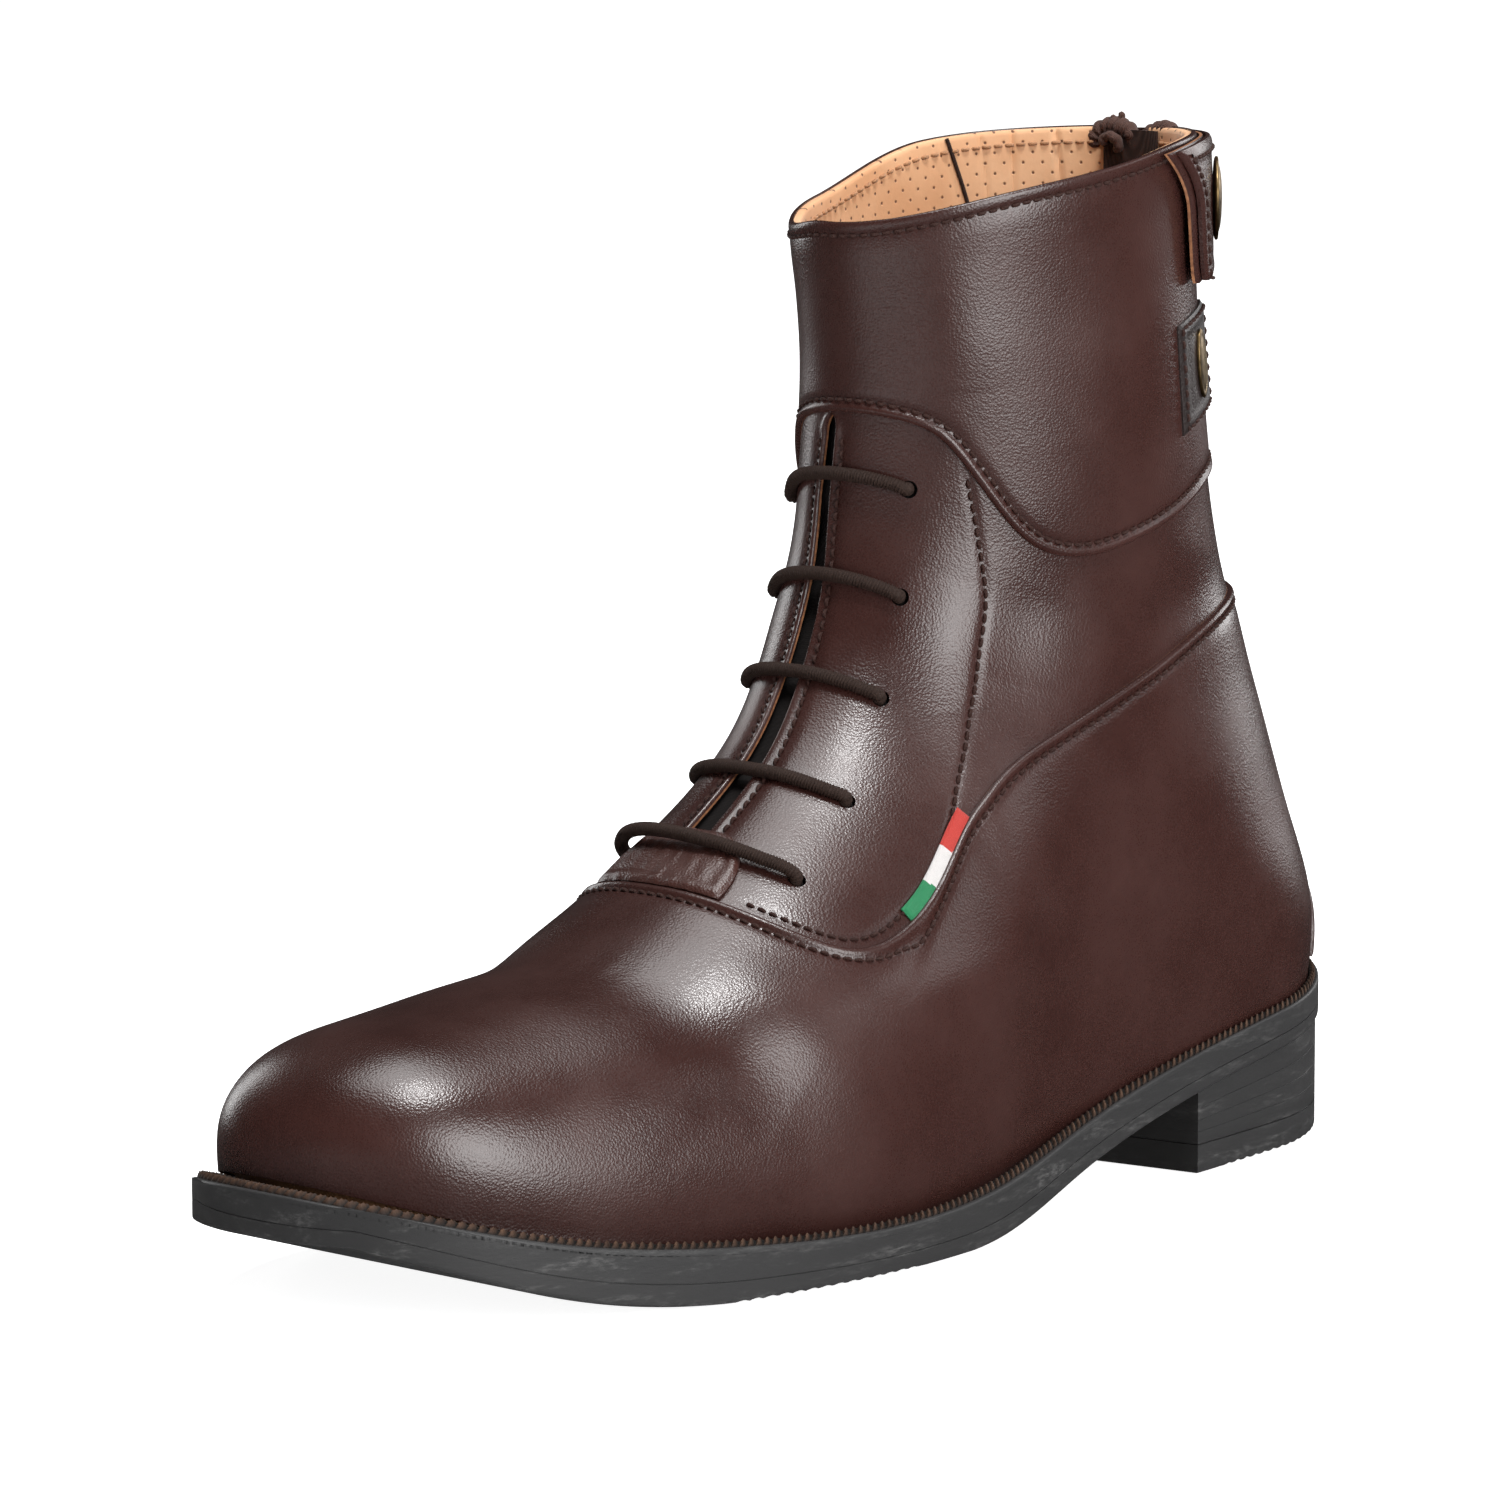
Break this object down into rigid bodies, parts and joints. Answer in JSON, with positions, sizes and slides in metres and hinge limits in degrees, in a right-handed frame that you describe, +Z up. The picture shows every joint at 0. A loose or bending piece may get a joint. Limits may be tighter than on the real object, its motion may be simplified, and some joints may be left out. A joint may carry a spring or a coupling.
{
  "type": "lace-up ankle boot",
  "caption": "Left leather ankle boot for riding: hollow upper with elastic lace bars and a back zip under a snap tab, on a welted rubber sole with a low heel.",
  "frame": {"origin": "middle of the heel's ground face", "axes": "-Y towards the toe, +X towards the outer (lateral) side of this left boot, +Z up"},
  "size_m": [0.1015, 0.2873, 0.209],
  "materials": {
    "brown_leather": "smooth polished calf",
    "lining_leather": "matte, perforated",
    "black_rubber": "satin",
    "welt_rubber": "notched, satin",
    "elastic_cord": "braided",
    "zip_tape": "woven",
    "zip_teeth": "moulded",
    "antique_brass": "antique",
    "woven_ribbon": "woven in three plain colours"
  },
  "bodies": {
    "root": {"outsole": "black_rubber", "heel": "black_rubber", "heel_lift": "black_rubber", "welt": "welt_rubber", "insole": "lining_leather", "upper": "brown_leather", "tongue": "brown_leather", "throat_tab": "brown_leather", "lace_bar_1": "elastic_cord", "lace_bar_2": "elastic_cord", "lace_bar_3": "elastic_cord", "lace_bar_4": "elastic_cord", "lace_bar_5": "elastic_cord", "zip_tape": "zip_tape", "zip_chain": "zip_teeth", "snap_tab": "brown_leather", "snap_cap": "antique_brass", "badge_patch": "brown_leather", "badge_plate": "antique_brass", "tape_tag": "woven_ribbon", "back_stay": "brown_leather"}
  },
  "joints": []
}
